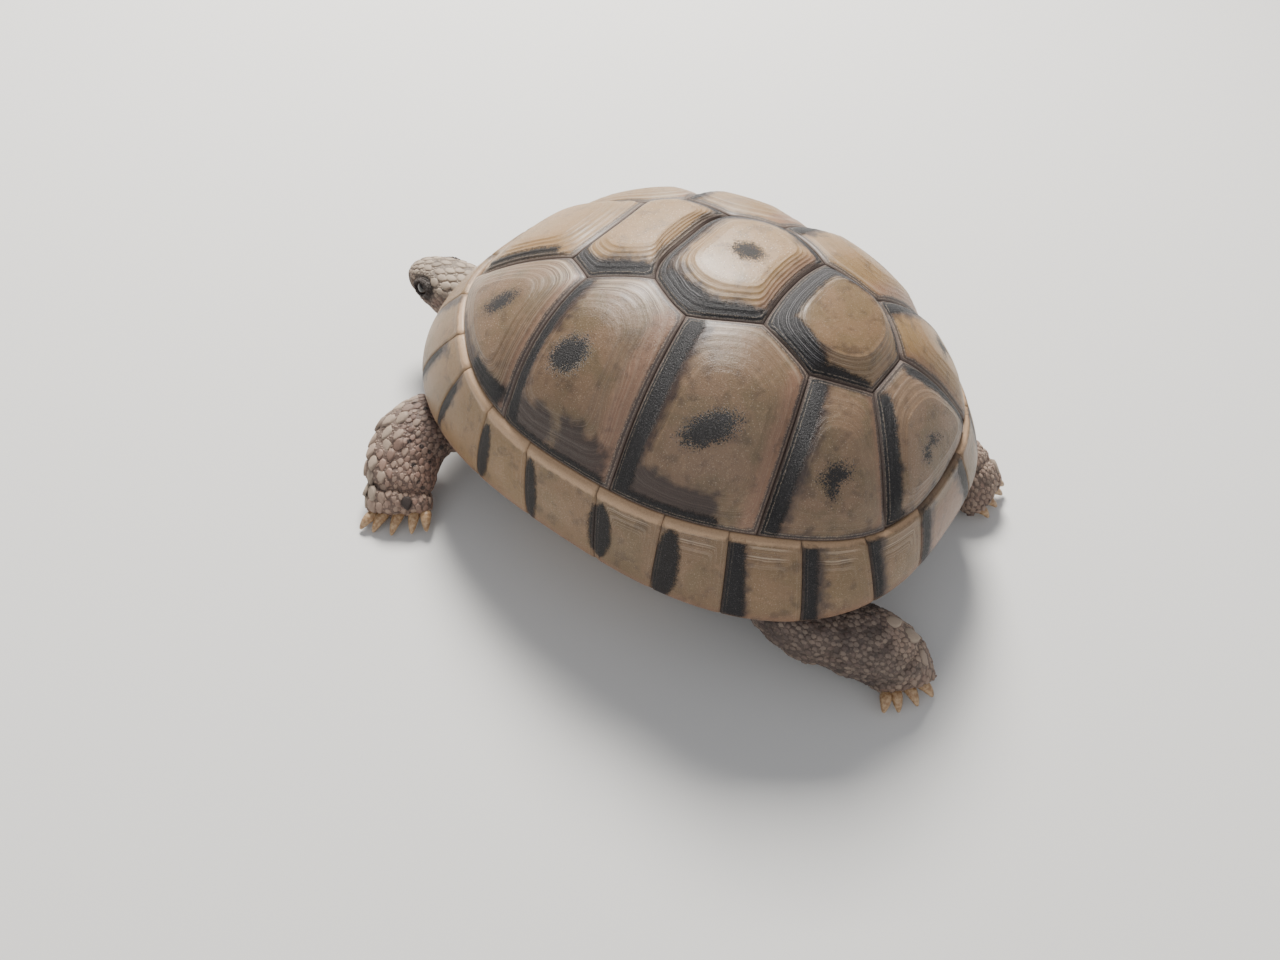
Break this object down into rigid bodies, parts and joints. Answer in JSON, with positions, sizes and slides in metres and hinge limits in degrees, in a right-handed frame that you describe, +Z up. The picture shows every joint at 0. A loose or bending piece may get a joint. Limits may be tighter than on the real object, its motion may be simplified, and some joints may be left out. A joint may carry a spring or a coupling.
{
  "type": "spur-thighed tortoise model",
  "caption": "Still life-size model of a young spur-thighed tortoise in mid stride, with plated carapace, plastron, head, legs and short tail.",
  "frame": {"origin": "centre of the whole animal's plan box, on the floor", "axes": "the head looks along -Y, +X is the animal's left, +Z is up"},
  "size_m": [0.095, 0.1352, 0.0563],
  "materials": {
    "carapace_horn": "satin horn, tan brown with blackish seams",
    "rim_horn": "satin horn, straw yellow with dark wedges",
    "plastron_horn": "smooth horn, yellowish with dark patches",
    "skin": "dry scaly skin, grey brown",
    "eye": "wet dark eye"
  },
  "bodies": {
    "root": {"costal_left_1": "carapace_horn", "costal_left_2": "carapace_horn", "costal_left_3": "carapace_horn", "costal_left_4": "carapace_horn", "costal_right_1": "carapace_horn", "costal_right_2": "carapace_horn", "costal_right_3": "carapace_horn", "costal_right_4": "carapace_horn", "eye_left": "eye", "eye_right": "eye", "foreleg_left": "skin", "foreleg_right": "skin", "head": "skin", "hindleg_left": "skin", "hindleg_right": "skin", "marginal_left_1": "rim_horn", "marginal_left_10": "rim_horn", "marginal_left_11": "rim_horn", "marginal_left_2": "rim_horn", "marginal_left_3": "rim_horn", "marginal_left_4": "rim_horn", "marginal_left_5": "rim_horn", "marginal_left_6": "rim_horn", "marginal_left_7": "rim_horn", "marginal_left_8": "rim_horn", "marginal_left_9": "rim_horn", "marginal_right_1": "rim_horn", "marginal_right_10": "rim_horn", "marginal_right_11": "rim_horn", "marginal_right_2": "rim_horn", "marginal_right_3": "rim_horn", "marginal_right_4": "rim_horn", "marginal_right_5": "rim_horn", "marginal_right_6": "rim_horn", "marginal_right_7": "rim_horn", "marginal_right_8": "rim_horn", "marginal_right_9": "rim_horn", "neck": "skin", "nuchal": "rim_horn", "plastron_abdominal": "plastron_horn", "plastron_anal": "plastron_horn", "plastron_femoral": "plastron_horn", "plastron_gular": "plastron_horn", "plastron_humeral": "plastron_horn", "plastron_pectoral": "plastron_horn", "supracaudal": "rim_horn", "tail": "skin", "trunk": "skin", "vertebral_1": "carapace_horn", "vertebral_2": "carapace_horn", "vertebral_3": "carapace_horn", "vertebral_4": "carapace_horn", "vertebral_5": "carapace_horn"}
  },
  "joints": []
}
